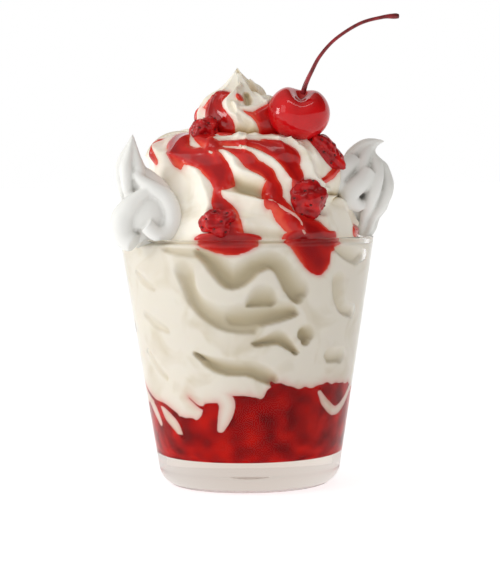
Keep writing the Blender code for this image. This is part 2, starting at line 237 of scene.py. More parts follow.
def turned_faces(rings, sides):
    """Quads between rings of points that run counter-clockwise round the Z axis, from the low end up."""
    return [
        (low + k, low + (k + 1) % sides, low + sides + (k + 1) % sides, low + sides + k)
        for low in range(0, (rings - 1) * sides, sides)
        for k in range(sides)
    ]


def between(table, at):
    """The values of a table at places between its rows, on a smooth curve through them."""
    last = len(table) - 1
    row = np.clip(np.searchsorted(table[:, 0], at, side="right") - 1, 0, last - 1)
    before, start, end, after = (table[np.clip(row + k, 0, last)] for k in (-1, 0, 1, 2))
    span = end[:, :1] - start[:, :1]
    t = np.clip((at[:, None] - start[:, :1]) / span, 0, 1)
    leave = (end - before) * span / np.maximum(end[:, :1] - before[:, :1], span)
    arrive = (after - start) * span / np.maximum(after[:, :1] - start[:, :1], span)
    curve = (2 * t**3 - 3 * t**2 + 1) * start + (3 * t**2 - 2 * t**3) * end
    return (curve + (t**3 - 2 * t**2 + t) * leave + (t**3 - t**2) * arrive)[:, 1:]


def samples(route, steps=12):
    """Places along a smooth curve through the places of a route, so many to a stretch."""
    table = np.column_stack([np.arange(len(route)), np.array(route, dtype=float)])
    return between(table, np.linspace(0, len(route) - 1, steps * (len(route) - 1) + 1))


def wall_reach(angle, height, routes):
    """How far inside the nearest strand a place on the wall lies, in mm, and below 0 outside them all.

    Angles are in degrees, and heights and half widths in mm.
    """
    reach = np.full(angle.shape, -99.0)
    for route in routes:
        for at, up, half in samples(route):
            aside = (angle - at + 180) % 360 - 180
            across = aside * math.pi / 180 * (24 + 0.16 * up)
            reach = np.maximum(reach, half - np.hypot(across, height - up))
    return reach


def sauce_reach(angle, height):
    """How far inside the sauce a place on the wall lies, in mm."""
    edge = between(SAUCE_EDGE, angle.ravel()).reshape(angle.shape)
    ragged = 0.2 * np.sin(angle / 2.3) + 0.25 * np.sin(angle / 1.3 + 1) * np.sin(height / 1.1)
    reach = np.minimum(edge + ragged - height, -wall_reach(angle, height, CREAM_STRANDS) + 0.2 * ragged)
    return np.maximum(reach, wall_reach(angle, height, SAUCE_WISPS))


def from_front(points):
    """The angle of points from the front to the right, in degrees."""
    return np.degrees(np.arctan2(points[:, 0], -points[:, 1]))


def make_bottom_sauce():
    """Rings from the middle of the floor out to the wall, up it, and back to the middle over the top."""
    angles = math.tau * np.arange(SAUCE_SIDES) / SAUCE_SIDES
    way = np.column_stack([np.cos(angles), np.sin(angles), 0 * angles])
    centre = inner_radius(BASE_THICKNESS) + FLOOR_ROUNDING * (math.tan(TAPER) - 1 / math.cos(TAPER))
    rounding = FLOOR_ROUNDING + INTO_WALL
    rings = [way * share * centre + (0, 0, BASE_THICKNESS - INTO_WALL) for share in (0.02, 0.3, 0.6, 0.9)]
    for turn in np.linspace(-math.pi / 2, -TAPER, 13):
        height = BASE_THICKNESS + FLOOR_ROUNDING + rounding * math.sin(turn)
        rings.append(way * (centre + rounding * math.cos(turn)) + (0, 0, height))
    foot = rings[-1][0][2]
    for height in np.linspace(foot, SAUCE_LIMIT, SAUCE_ROWS + 1)[1:]:
        reach = sauce_reach(from_front(way), np.full(SAUCE_SIDES, height / MM))
        out = np.where(reach > 0, 0.8 * INTO_WALL * np.clip(reach / 0.5, 0, 1), 4 * MM * np.maximum(reach, -2))
        radius = inner_radius(height) + INTO_WALL + out
        rings.append(way * radius[:, None] + (0, 0, height))
    rings += [rings[-1] * (share, share, 1) for share in (0.7, 0.35, 0.02)]
    faces = turned_faces(len(rings), SAUCE_SIDES)
    first_top = (len(rings) - 1) * SAUCE_SIDES
    faces += [tuple(range(SAUCE_SIDES))[::-1], tuple(range(first_top, first_top + SAUCE_SIDES))]
    return new_piece("bottom_sauce", np.concatenate(rings), faces, crushed_fruit)


# Sauce with crushed fruit seen against the glass: bright syrup between darker lumps of 5 mm or so.
crushed_fruit = finish("strawberry_sauce_with_fruit", "#c4161a", 0.3, 1.45, specular_ior_level=0.0)
place = node(crushed_fruit, "ShaderNodeTexCoord").outputs["Object"]
lumps = node(crushed_fruit, "ShaderNodeTexNoise", {"Vector": place, "Scale": 170, "Detail": 1.5, "Roughness": 0.4})
join_to(
    crushed_fruit,
    "Base Color",
    ramp(crushed_fruit, lumps.outputs["Fac"], (0.3, "#7a080b"), (0.72, "#cf160e"), (0.5, "#a80d0d")),
)
bottom_sauce = make_bottom_sauce()
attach(bottom_sauce, "root")
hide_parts("strawberry_sauce")

# ---------------------------------------------------------------- the soft serve
# Vanilla soft serve, drawn from a star nozzle: it fills the glass in folds that press against the wall,
# and goes on above the rim as one rope coiled up into three tiers. Filling and coil are one skin, in a
# spiral: the rope's lower edge is the upper edge of the turn below.

SIDES = 318  # points round the filling
FILL_FOOT = 20 * MM  # its underside, sunk in the sauce
FILL_TOP = 83.5 * MM  # where the filling leaves the wall of the glass
FILL_ROWS = 105
COIL = np.array(  # turns from the back, then radius, height and thickness of the rope there, in mm
    (
        (0.00, 26.5, 82.0, 12.5),
        (0.25, 26.5, 87.5, 12.5),
        (0.50, 27.0, 87.5, 12.5),
        (0.75, 26.5, 89.5, 12.5),
        (1.00, 24.5, 97.5, 12.5),
        (1.25, 22.5, 107.0, 12.5),
        (1.50, 23.0, 108.5, 12.5),
        (1.75, 23.0, 110.0, 12.5),
        (2.00, 16.5, 118.0, 11.5),
        (2.25, 10.5, 122.5, 10.5),
        (2.50, 9.5, 125.5, 10.5),
        (2.75, 7.5, 126.5, 9.5),
        (3.00, 5.0, 130.0, 8.0),
        (3.25, 3.5, 134.3, 4.6),
        (3.38, 1.3, 139.0, 1.7),
        (3.45, 0.0, 143.8, 0.4),
    )
) * (1, MM, MM, MM)
LAST_TURN = COIL[-1, 0]
LEAN_HEIGHT = 128 * MM  # above this the swirl leans to the left
TIP_LEAN = 2.8 * MM
RIDGES = 16  # ridges of the star nozzle in a turn of the coil
LATE_RIDGES = 11  # and on the narrow turns above
LATE_TURN = 2.25
GROOVE_DEPTH = 0.38  # share of the rope's thickness
COLUMNS = 360  # columns of points in a turn
SLANT = 36  # columns that a ridge moves on while it climbs over the rope
ROPE_ROWS = 52


def crease(turn):
    """(radius, height) of the crease between the coil at a turn and the next turn above it."""
    foot = np.array((inner_radius(FILL_TOP) - 3 * MM, FILL_TOP + 1 * MM))
    low, high = between(COIL, np.clip(turn, 0, None)), between(COIL, np.clip(turn, 0, None) + 1)
    apart = high[:, :2] - low[:, :2]
    distance = np.linalg.norm(apart, axis=1) + 1e-9
    along = apart / distance[:, None]
    reach = (distance**2 + low[:, 2] ** 2 - high[:, 2] ** 2) / (2 * distance)
    half = np.sqrt(np.maximum(0, low[:, 2] ** 2 - reach**2))
    outward = np.column_stack([along[:, 1], -along[:, 0]])
    meeting = low[:, :2] + np.minimum(reach, distance)[:, None] * along + half[:, None] * outward
    grown = np.clip(turn / 0.3, 0, 1)[:, None]
    grown = grown * grown * (3 - 2 * grown)
    joined = foot * (1 - grown) + meeting * grown
    joined[turn >= LAST_TURN - 1] = COIL[-1, 1:3]
    return joined


def coil_points(low_turn, high_turn, share, grooves):
    """Points on the rope, at a share of the way up ridges that climb from one turn to another."""
    turn = low_turn + (high_turn - low_turn) * share
    rope = between(COIL, turn)
    centre = rope[:, :2]
    low, high = crease(turn - 1) - centre, crease(turn) - centre
    start, end = np.arctan2(low[:, 1], low[:, 0]), np.arctan2(high[:, 1], high[:, 0])
    slope = start + (end - start) * share
    late = np.clip((turn - LAST_TURN + 1.3) / 0.4, 0, 1)
    to_low, to_high = (1 - share) ** 4, share ** (4 + 9 * late)
    count = RIDGES * np.minimum(high_turn, LATE_TURN) + LATE_RIDGES * np.maximum(0, high_turn - LATE_TURN)
    valley = np.abs(np.sin(math.pi * count)) ** 0.6
    depth = grooves * GROOVE_DEPTH * valley * np.sin(math.pi * share) ** 0.7
    around = np.abs((math.tau * turn) % math.tau - math.pi) / math.pi
    depth = depth * (0.45 + 0.55 * np.clip((around - 0.42) / 0.12, 0, 1))
    reach = rope[:, 2] * (1 - depth) * (1 - to_low - to_high)
    reach = reach + np.linalg.norm(low, axis=1) * to_low + np.linalg.norm(high, axis=1) * to_high
    place = centre + reach[:, None] * np.column_stack([np.cos(slope), np.sin(slope)])
    angle = math.pi / 2 - math.tau * turn
    lean = TIP_LEAN * (np.maximum(0, place[:, 1] - LEAN_HEIGHT) / (COIL[-1, 2] - LEAN_HEIGHT)) ** 1.5
    return np.column_stack([place[:, 0] * np.cos(angle) - lean, place[:, 0] * np.sin(angle), place[:, 1]])


FOLDS = (  # hollows between the folds at the wall: depth in mm, then (angle, height, half width)
    (3.4, ((-24, 81.5, 0.6), (-18, 78.3, 1.5), (-13, 74, 2.0), (-8, 71.5, 2.2), (-2, 72.8, 2.0), (4, 76.2, 1.6))),
    (3.2, ((4, 76.2, 1.6), (10, 77.6, 1.5), (15, 75.8, 1.6), (19, 71.8, 1.8), (22.5, 68.0, 2.2), (25, 66.5, 2.2))),
    (3.4, ((0.5, 63.9, 0.5), (4, 64.6, 1.4), (8, 65.2, 1.9), (12.5, 64.4, 1.0))),
    (2.4, ((-31, 73, 2.0), (-29, 68, 1.5), (-25.5, 63.3, 1.6), (-17, 59.0, 1.9), (-9, 57.2, 2.2), (2, 56.6, 2.2))),
    (3.4, ((-9, 58.5, 1.6), (0, 58.6, 2.2), (10, 59.6, 2.2), (20, 60.7, 1.4), (25, 61, 0.4))),
    (3.2, ((3, 51.0, 0.4), (10, 51.6, 0.9), (16, 52.0, 1.2), (20, 50.6, 1.0), (26, 47.8, 0.5))),
    (3.6, ((30.0, 54.5, 0.8), (31.0, 52.0, 1.8))),
    (3.0, ((-29, 47.5, 0.4), (-21, 44, 1.1), (-12.5, 42.2, 1.4), (0, 41.6, 1.3), (6, 40.2, 1.5), (13, 38.3, 1.2))),
    (1.6, ((49, 70, 1.6), (51, 64.5, 1.6), (56, 61, 1.2), (66, 59.5, 1.2))),
    (1.6, ((48, 45, 1.2), (60, 44.5, 1.3))),
    (0.8, ((-66, 74, 0.6), (-60, 71, 1.0), (-52, 69, 0.6))),
    (0.8, ((-64, 60, 0.7), (-55, 57, 1.0), (-46, 55, 0.6))),
    (0.8, ((-68, 47, 0.7), (-60, 42, 1.0), (-52, 39, 0.6))),
    (1.4, ((-40, 82.5, 1.0), (-30, 81.5, 1.2), (-24, 81.0, 0.8))),
    (1.6, ((46, 82, 0.8), (52, 80, 1.4), (62, 78, 1.6), (72, 79, 0.8))),
)
WIDEST_COPIED = 35  # folds within this angle of the front come again on the sides and at the back
FOLD_ROUNDS = ((0, 1, 0), (122, 1, -2), (180, -1, 3), (-120, 1, 1))  # turned, mirrored and raised


def fold_hollow(angle, height):
    """Depth in mm of the hollow at places on the wall. It falls away crisply below and softly above."""
    deepest = np.zeros(angle.shape)
    for turned, mirrored, raised in FOLD_ROUNDS:
        for depth, route in FOLDS:
            if turned and max(abs(at) for at, _, _ in route) > WIDEST_COPIED:
                continue
            for at, up, half in samples(route, 8):
                aside = (angle - mirrored * at - turned + 180) % 360 - 180
                across, above = aside * math.pi / 180 * 38, height - up - raised
                apart = np.hypot(across, above) + 1e-6
                softness = np.clip(above / apart, 0, 1)
                share = np.clip(apart / (half * (0.9 + 2.4 * softness)), 0, 1)
                deepest = np.maximum(deepest, depth * (1 - share ** (3.5 - 2.3 * softness)))
    return deepest


def filling_rings():
    """Rings across the filling's underside and up the wall of the glass, clockwise from the back."""
    angle = math.pi / 2 - math.tau * np.arange(SIDES) / SIDES
    way = np.column_stack([np.cos(angle), np.sin(angle), 0 * angle])
    rings = [way * share * inner_radius(FILL_FOOT) + (0, 0, FILL_FOOT) for share in (0.35, 0.7, 0.97)]
    for row in range(FILL_ROWS + 1):
        height = FILL_FOOT + (FILL_TOP - FILL_FOOT) * row / FILL_ROWS
        hollow = fold_hollow(from_front(way), np.full(SIDES, height / MM)) * MM
        radius = inner_radius(height) + INTO_WALL - hollow
        rings.append(way * radius[:, None] + (0, 0, height))
    for inward, up in ((0.5 * MM, 0.6 * MM), (1.5 * MM, 1.0 * MM)):
        rings.append(way * (inner_radius(FILL_TOP) - inward) + (0, 0, FILL_TOP + up))
    return rings


def soft_serve_skin(grooves):
    """Points and faces of the filling and the coil, with the ridges as deep as the grooves say."""
    around = SIDES
    rings = filling_rings()
    filling_end = len(rings) * around
    last_column = around + math.ceil((LAST_TURN - 1) * COLUMNS)
    spots, places = {}, []

    def spot(column, row):
        """The number of the point at a column and row of the coil, which starts and ends in one point."""
        column, row = column + around * (row // ROPE_ROWS), row % ROPE_ROWS
        if column == 0 or column >= last_column or (column, row) == (around, 0):
            column, row = (last_column if column >= last_column else 0), 0
        if (column, row) not in spots:
            spots[column, row] = filling_end + len(places)
            low = column / around if column < around else 1 + (column - around) / COLUMNS
            high = max(low, min(column / COLUMNS, (low + LAST_TURN) / 2))
            places.append((low, high, row / ROPE_ROWS))
        return spots[column, row]

    faces = []
    for start in range(0, filling_end, around):
        for k in range(around):
            after = (k + 1) % around
            above = (start + around + k, start + around + after)
            if start + around == filling_end:
                above = (spot(k, 0), spot(k + 1, 0))
            faces.append((start + k, *above, start + after))
    for column in range(last_column):
        for row in range(ROPE_ROWS):
            corners = ((column, row), (column, row + 1), (column + 1, row + 1), (column + 1, row))
            face = list(dict.fromkeys(spot(*place) for place in corners))
            if len(face) > 2:
                faces.append(face)
    faces.append(tuple(range(around)))
    low, high, share = np.array(places).T
    points = np.concatenate([*rings, coil_points(low, high, share, grooves)])
    return points, faces


MERGED_ANGLES = (-95, -80, 40, 62)  # at the front the two lower turns run into one face: from, and to
MERGED_HEIGHTS = (93, 98, 108, 114)
MERGED_ROUNDS = 420
MERGED_RADIUS = 34.6  # mm, at a height of 103 mm
MERGED_SLOPE = -0.2
RELIEF = (  # height in mm of crests, and below 0 of hollows, then (angle, height, half width)
    (1.5, ((-57, 135.5, 1.5), (-58, 132, 2.2), (-66, 129, 2.2), (-63, 125.6, 2.0))),
    (2.2, ((-10, 138, 1.0), (-21, 133.5, 2.6), (-21, 130.6, 3.0), (-16, 128, 3.2), (-7, 125, 3.2), (-5, 120.5, 3.0))),
    (1.8, ((-14, 131.4, 1.6), (-4, 128, 2.8), (5, 125, 3.2), (8, 121, 3.0))),
    (1.6, ((-16, 132.3, 1.0), (-5, 129.8, 1.8), (9, 130.3, 1.8), (31, 132.4, 1.4))),
    (-2.4, ((2, 135.5, 1.2), (4, 133.2, 2.2), (3, 132, 1.6))),
    (1.2, ((45, 140, 1.0), (55, 137, 1.6), (48, 134, 1.6))),
    (-1.4, ((-38, 134, 2.4), (-38, 131, 3.4), (-28, 127, 3.0), (-16, 123.5, 2.0))),
    (1.3, ((-25, 119.4, 1.2), (-13, 120.3, 1.8), (2, 120.2, 2.0), (17, 120, 2.0), (27, 119.4, 2.0), (36, 118, 2.4))),
    (2.6, ((32, 119, 2.0), (35.5, 114.5, 3.8), (38, 110, 4.0), (41, 106, 3.8), (50, 102.4, 3.0))),
    (2.3, ((-4, 116.6, 1.0), (6, 114.8, 2.4), (13, 112.2, 2.9), (19, 109, 3.1), (24, 105, 3.0))),
    (2.4, ((-19, 114.0, 1.4), (-12, 114.9, 2.2), (-8, 111.8, 2.9), (-3, 108.4, 3.1), (3, 107, 3.0), (10, 105, 2.4))),
    (-2.8, ((-8, 106, 2.0), (-3, 104, 4.0), (4, 102.6, 4.0), (9, 101, 3.0))),
    (2.0, ((-86, 123.5, 1.6), (-77, 120.2, 2.4), (-64, 116.1, 2.8), (-46, 112.9, 3.0), (-36, 111, 3.0))),
    (2.4, ((-36, 111, 3.2), (-28, 107.5, 3.6), (-23, 103, 3.8), (-21, 98.5, 3.6), (-20, 94, 2.6))),
    (2.6, ((-13, 101.3, 2.2), (-2, 99.7, 3.6), (12, 97.2, 4.0), (23, 94.3, 4.2), (28, 91.0, 3.4), (29, 87.5, 2.0))),
    (1.8, ((52, 101.4, 2.2), (68, 98.4, 3.0), (82, 95, 3.0), (86, 90, 2.4))),
    (-1.2, ((-10, 90, 2.0), (2, 89, 3.0), (16, 88, 2.6))),
)


def swirl_spots(route):
    """Places on the skin, and half widths in metres, along a route of (angle, height, half width)."""
    spots = []
    for at, up, half in samples(route, 10):
        aside = (from_front(skin) - at + 180) % 360 - 180
        apart = np.hypot(aside * math.pi / 180 * 25 * MM, skin[:, 2] - up * MM)
        near = np.flatnonzero(apart < apart.min() + 0.6 * MM)
        outermost = near[np.argmax(np.hypot(skin[near, 0], skin[near, 1]))]
        spots.append((*skin[outermost], half * MM))
    spots = np.array(spots)
    for _ in range(3):
        spots[1:-1] = (spots[:-2] + 2 * spots[1:-1] + spots[2:]) / 4
    return spots


def carve(points):
    """How far crests and hollows move each point of the skin, and how near a crest it lies, from 0 to 1."""
    raised, lowered, crest = np.zeros((3, len(points)))
    for height, route in RELIEF:
        for *spot, half in swirl_spots(route):
            share = np.clip(1 - np.linalg.norm(points - spot, axis=1) / half, 0, 1)
            if height > 0:
                raised = np.maximum(raised, height * MM * share**1.2)
                crest = np.maximum(crest, share)
            else:
                lowered = np.minimum(lowered, height * MM * share * share * (3 - 2 * share))
    return raised + lowered, crest


def plateau(values, edges):
    """1 between the two middle edges, and falling softly to 0 at the outer ones."""
    start, full, fading, end = edges
    share = np.clip(np.minimum((values - start) / (full - start), (end - values) / (end - fading)), 0, 1)
    return share * share * (3 - 2 * share)


def merge_turns(points, faces):
    """Evens out the crease between the two lower turns at the front, and brings it out to one face."""
    weight = plateau(from_front(points), MERGED_ANGLES) * plateau(points[:, 2] / MM, MERGED_HEIGHTS)
    near = np.array([face for face in faces if len(face) == 4 and weight[list(face)].max() > 0])
    one, other = near.ravel(), np.roll(near, 1, axis=1).ravel()
    one, other = np.concatenate([one, other]), np.concatenate([other, one])
    neighbours = np.maximum(1, np.bincount(one, minlength=len(points)))
    points = points.copy()
    for _ in range(MERGED_ROUNDS):
        for axis in range(3):
            middle = np.bincount(one, points[other, axis], len(points)) / neighbours
            points[:, axis] += weight * (middle - points[:, axis])
    height = points[:, 2] / MM
    radius = np.hypot(points[:, 0], points[:, 1])
    face_radius = (MERGED_RADIUS + MERGED_SLOPE * (height - 103)) * MM
    grown = 1 + 0.8 * weight * np.maximum(0, face_radius - radius) / np.maximum(radius, MM)
    return points * np.column_stack([grown, grown, np.ones(len(points))])


def put_attribute(piece, name, values):
    attribute = piece.data.attributes.new(name, "FLOAT", "POINT")
    attribute.data.foreach_set("value", np.asarray(values, dtype=np.float32))


def mix_in(material, share, under, over):
    """The colour under, with the colour over it as far as the share says."""
    new = node(material, "ShaderNodeMix", {0: share}, data_type="RGBA")
    for socket, colour in ((6, under), (7, over)):
        if isinstance(colour, str):
            new.inputs[socket].default_value = linear(colour)
        else:
            material.node_tree.links.new(colour, new.inputs[socket])
    return new.outputs[2]


# Dense cream that lets a little light in. Its colour carries painted shade: nearly white on its ridges, and painted a
# buttery beige down in the creases by an ambient-occlusion ramp.
CREASE_SHADE = 7 * MM
ice_cream = finish(
    "vanilla_soft_serve",
    "#f6efdf",
    0.4,
    1.35,
    subsurface_weight=0.1,
    subsurface_scale=0.002,
    subsurface_radius=(1.0, 0.8, 0.55),
)
# Painted shade: the hollow attribute paints the folds at the wall and the hollows of the swirl a darker beige.
hollows = node(ice_cream, "ShaderNodeAttribute", attribute_name="hollow").outputs["Fac"]
stains = node(ice_cream, "ShaderNodeAttribute", attribute_name="stain").outputs["Fac"]
# Painted shade: the ambient occlusion of the cream's own skin sets how beige the creases are painted.
openness = node(
    ice_cream, "ShaderNodeAmbientOcclusion", {"Distance": CREASE_SHADE}, only_local=True, samples=8
).outputs["AO"]
lit = ramp(ice_cream, openness, (0.25, "#c9b083"), (0.95, "#fbf5e9"), (0.6, "#efe3c9"))
place = node(ice_cream, "ShaderNodeTexCoord").outputs["Object"]
# Painted shade: soft random patches of darker beige stand in for shallow folds that are not modelled.
clouds = node(ice_cream, "ShaderNodeTexNoise", {"Vector": place, "Scale": 75, "Detail": 2, "Distortion": 1.2})
painted_fold_clouds = node(
    ice_cream, "ShaderNodeMapRange", {"Value": clouds.outputs["Fac"], "From Min": 0.48, "From Max": 0.75, "To Max": 0.5}
).outputs["Result"]
shaded = mix_in(ice_cream, hollows, mix_in(ice_cream, painted_fold_clouds, lit, "#d9cdb0"), "#cabd9e")
join_to(ice_cream, "Base Color", mix_in(ice_cream, stains, shaded, "#d8483a"))

skin, skin_faces = soft_serve_skin(1.0)
skin = merge_turns(skin, skin_faces)
soft_serve = new_piece("soft_serve_swirl", skin, skin_faces, ice_cream, smooth=180)
outward = skin * (1, 1, 0) / (np.hypot(skin[:, :1], skin[:, 1:2]) + 4 * MM) + (0, 0, 0.55)
outward /= np.linalg.norm(outward, axis=1, keepdims=True)
moved, crest = carve(skin)
carved = skin + outward * moved[:, None]
soft_serve.data.vertices.foreach_set("co", carved.ravel())
soft_serve.data.update()
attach(soft_serve, "root")
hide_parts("soft_serve")

# ---------------------------------------------------------------- the sauce poured over the swirl
# The same strawberry syrup, poured over the swirl last. It lies thick in the valleys, leaves the sharp
# ridges bare, and runs down to the rim and on between the soft serve and the glass.

SYRUP_THICKNESS = 1.0 * MM
SYRUP_EDGE = 2.0 * MM  # the sauce rises to its full thickness over this width
STREAMS = (  # (angle from the front, height, half width)
    ((-74, 118.9, 2.2), (-70, 116, 3.1), (-67, 113.5, 3.0)),
    ((-55, 134.5, 1.4), (-56, 131.2, 1.5), (-72, 128.6, 1.7), (-72, 125.7, 1.4)),
    ((-37, 135.3, 2.4), (-42, 132, 4.0), (-36, 128.3, 4.8), (-24, 124.7, 4.4), (-18, 121.6, 3.0)),
    ((-7, 134.2, 1.3), (-6, 133.6, 1.3)),
    ((25, 130.5, 1.8), (15, 127.3, 3.0), (24, 124.1, 3.8), (44, 121.2, 2.8), (55, 119.5, 1.6)),
    ((0, 128.6, 1.3), (10, 126.1, 2.2), (19, 122.9, 3.2)),
    ((-62, 122.5, 3.4), (-56, 120.5, 4.4), (-46, 116.4, 4.8), (-35, 112.9, 4.6), (-21, 110.5, 4.4)),
    ((-45, 122.5, 4.2), (-30, 120.0, 3.2), (-20, 118, 3.0), (-16, 114.2, 2.4), (-14, 110.5, 3.3)),
    ((-21, 110.5, 4.4), (-15, 107.4, 4.6), (-15, 103.5, 2.8), (-16, 99.6, 2.6), (-12, 95.8, 3.6)),
    ((-12, 95.8, 3.6), (-10, 91.9, 4.4), (-9, 88.4, 4.6), (-9, 86.6, 4.4)),
    ((-21, 116.3, 2.0), (-9, 115.2, 1.9), (-1, 113.1, 2.6), (5, 110.3, 3.2), (11, 107.2, 3.3)),
    ((11, 107.2, 3.3), (14, 103.3, 3.2), (14, 99.4, 3.6)),
    ((-20, 118.4, 1.2), (-6, 118.4, 1.7), (6, 117.8, 2.4), (14, 116.1, 3.6), (20, 113.3, 4.4)),
    ((20, 113.3, 4.4), (26, 110.2, 4.4), (28, 106.3, 3.8)),
    ((12, 118.4, 1.8), (20, 117.6, 2.2), (28, 115.4, 2.8), (31, 112, 2.8)),
    ((68, 112.3, 1.0), (64, 109.5, 1.5), (58, 107.0, 1.5), (52, 104.6, 1.1)),
    ((12, 98.6, 3.2), (20, 94.7, 4.0), (27, 91.2, 4.4), (35, 88.5, 4.6), (38, 85.2, 4.6)),
    ((23, 91.6, 2.0), (31, 87.3, 3.5)),
    ((82, 88.5, 2.4), (72, 87.5, 1.6)),
    ((150, 133, 2.0), (158, 128, 3.0), (150, 123, 3.6), (140, 118, 3.6), (144, 112, 3.2), (138, 106, 2.6)),
    ((-160, 134, 1.6), (-150, 129, 2.6), (-146, 123, 3.2), (-156, 116, 3.6), (-150, 110, 3.0), (-158, 102, 2.6)),
    ((112, 118, 2.0), (104, 112, 3.2), (98, 106, 3.4), (104, 99, 3.0), (112, 93, 3.4), (110, 87, 3.2)),
    ((178, 112, 1.6), (172, 106, 2.8), (176, 99, 3.2), (170, 92, 3.4)),
    ((-112, 119, 1.8), (-104, 113, 3.0), (-108, 106, 3.0), (-100, 99, 2.4)),
    ((-132, 98, 2.0), (-138, 92, 3.2), (-132, 87, 3.4)),
)
WALL_STREAMS = (  # the same behind the glass
    ((-25, 86, 1.0), (-18, 86, 3.0), (-12, 86, 4.6), (-6, 86, 5.2), (0, 86, 3.6), (5, 86.5, 1.4)),
    ((21, 86, 2.2), (27, 85, 4.8), (32, 81.5, 5.4), (35, 78.5, 4.6), (36, 76.2, 2.8)),
    ((37, 85, 5.0), (43, 85.5, 3.6), (48, 86.5, 2.0)),
    ((107, 86, 3.4), (110, 82, 3.4), (111, 77, 2.0)),
    ((-134, 86, 3.6), (-130, 82.5, 3.4), (-129, 79, 2.2)),
    ((168, 86, 3.0), (172, 82, 3.6), (170, 77, 2.6)),
)


def syrup_reach(points):
    """How far inside the nearest stream each point of the skin lies, in metres."""
    reach = np.full(len(points), -1.0)
    for route in STREAMS:
        for *spot, half in swirl_spots(route):
            reach = np.maximum(reach, half - np.linalg.norm(points - spot, axis=1))
    wobble = np.array([noise.noise(Vector(point) / (3 * MM)) for point in points])
    ragged = reach + 0.3 * MM * wobble - 1.8 * MM * crest
    behind_glass = wall_reach(from_front(points), points[:, 2] / MM, WALL_STREAMS) * MM + 0.2 * MM * wobble
    near_wall = np.hypot(points[:, 0], points[:, 1]) > inner_radius(points[:, 2]) - 7 * MM
    near_wall &= points[:, 2] < 88 * MM
    return np.maximum(ragged, np.where(near_wall, behind_glass, -1))


def make_syrup(reach):
    """The skin where the sauce lies on it, lifted by the sauce's thickness, with an underside."""
    filled, faces = soft_serve_skin(0.7)
    filled = merge_turns(filled, faces) + outward * (0.4 * moved)[:, None]
    at_wall = (skin[:, 2] < FILL_TOP + 0.1 * MM)
    rising = np.sqrt(np.clip(reach / SYRUP_EDGE, 0, 1))
    thickness = np.where(at_wall, 0.08 * MM, SYRUP_THICKNESS)
    lifted = np.where(reach > 0, thickness * rising, np.maximum(0.7 * reach, -0.5 * MM))
    blend = (np.clip(reach / SYRUP_EDGE, 0, 1) * ~at_wall)[:, None]
    surface = carved * (1 - blend) + filled * blend + outward * lifted[:, None]
    kept = [face for face in faces if len(face) < 5 and max(reach[list(face)]) > -0.6 * MM]
    used = sorted({k for face in kept for k in face})
    number = {k: n for n, k in enumerate(used)}
    kept = [[number[k] for k in face] for face in kept]
    syrup = new_piece("poured_sauce", surface[used], kept, syrup_red, 180)
    syrup.data.materials.append(syrup_behind_glass)
    for face in syrup.data.polygons:
        face.material_index = int(face.center.z < FILL_TOP and face.center.xy.length > inner_radius(FILL_TOP) - 3 * MM)
    put_attribute(syrup, "depth", np.clip(reach[used] / (4 * MM), 0, 1))
    thick = syrup.modifiers.new("underside", "SOLIDIFY")
    thick.thickness = 0.5 * MM
    thick.offset = -1
    bpy.context.view_layer.objects.active = syrup
    bpy.ops.object.modifier_apply(modifier=thick.name)
    return syrup


def colour_syrup(material):
    """Orange-red where the sauce is thin and deep red where it is thick, with slow clouds."""
    depth = node(material, "ShaderNodeAttribute", attribute_name="depth").outputs["Fac"]
    place = node(material, "ShaderNodeTexCoord").outputs["Object"]
    clouds = node(material, "ShaderNodeTexNoise", {"Vector": place, "Scale": 160, "Detail": 2}).outputs["Fac"]
    shift = node(material, "ShaderNodeMath", {0: clouds, 1: -0.5}, operation="ADD").outputs[0]
    uneven = node(material, "ShaderNodeMath", {0: shift, 1: 1.1, 2: depth}, operation="MULTIPLY_ADD").outputs[0]
    shades = ramp(material, uneven, (0.0, "#e24a34"), (1.0, "#9c0a0f"), (0.28, "#cd1a14"))
    join_to(material, "Base Color", shades)


# Wet fruit syrup with sharp highlights, and the same pressed flat against the glass, where it has none.
syrup_red = finish("strawberry_syrup", "#c2120f", 0.16, 1.42)
syrup_behind_glass = finish("strawberry_syrup_against_glass", "#c2120f", 0.5, 1.45, specular_ior_level=0.0)
colour_syrup(syrup_red)
colour_syrup(syrup_behind_glass)

reach = syrup_reach(skin)
poured_sauce = make_syrup(reach)
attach(poured_sauce, "root")

at_the_wall = skin[:, 2] < FILL_TOP
above_sauce = -sauce_reach(from_front(skin), skin[:, 2] / MM)
# Painted shade in the hollows: how deep the folds at the wall and the swirl's hollows are, as a share, for painting
# them darker.
hollow = np.where(at_the_wall, fold_hollow(from_front(skin), skin[:, 2] / MM) / 3.4, -moved / (2.5 * MM))
put_attribute(soft_serve, "hollow", np.clip(hollow, 0, 1))
stain = 0.55 * np.exp(-np.clip(-reach, 0, 1) / (0.5 * MM))
stain = np.maximum(stain, np.where(at_the_wall, 0.5 * np.exp(-np.clip(above_sauce, 0, 99) / 1.1), 0))
put_attribute(soft_serve, "stain", stain)

# ---------------------------------------------------------------- the strawberry pieces
# Pieces of ripe strawberry from the sauce: lumpy, wet and dark red, with seeds set in dimples.

STRAWBERRIES = (  # centre and half sizes in mm, then turns about X, Y and Z in degrees
    ((-13.6, -17.5, 121.4), (4.8, 4.4, 5.4), (10, 15, 0)),
    ((20.0, -27.5, 98.8), (7.2, 5.0, 6.8), (-10, 10, 30)),
    ((26.6, -16.5, 115.2), (8.4, 4.0, 3.8), (0, 38, 20)),
    ((-9.6, -36.2, 91.6), (5.6, 4.4, 4.8), (0, -8, -15)),
)
SEEDS = 22  # on a piece
SEED_SIZE = (0.55 * MM, 0.38 * MM, 0.3 * MM)


def spread(count):
    """Unit vectors spread evenly over a sphere."""
    for k in range(count):
        height = 1 - (2 * k + 1) / count
        turn = k * math.pi * (3 - math.sqrt(5))
        across = math.sqrt(1 - height * height)
        yield Vector((across * math.cos(turn), across * math.sin(turn), height))


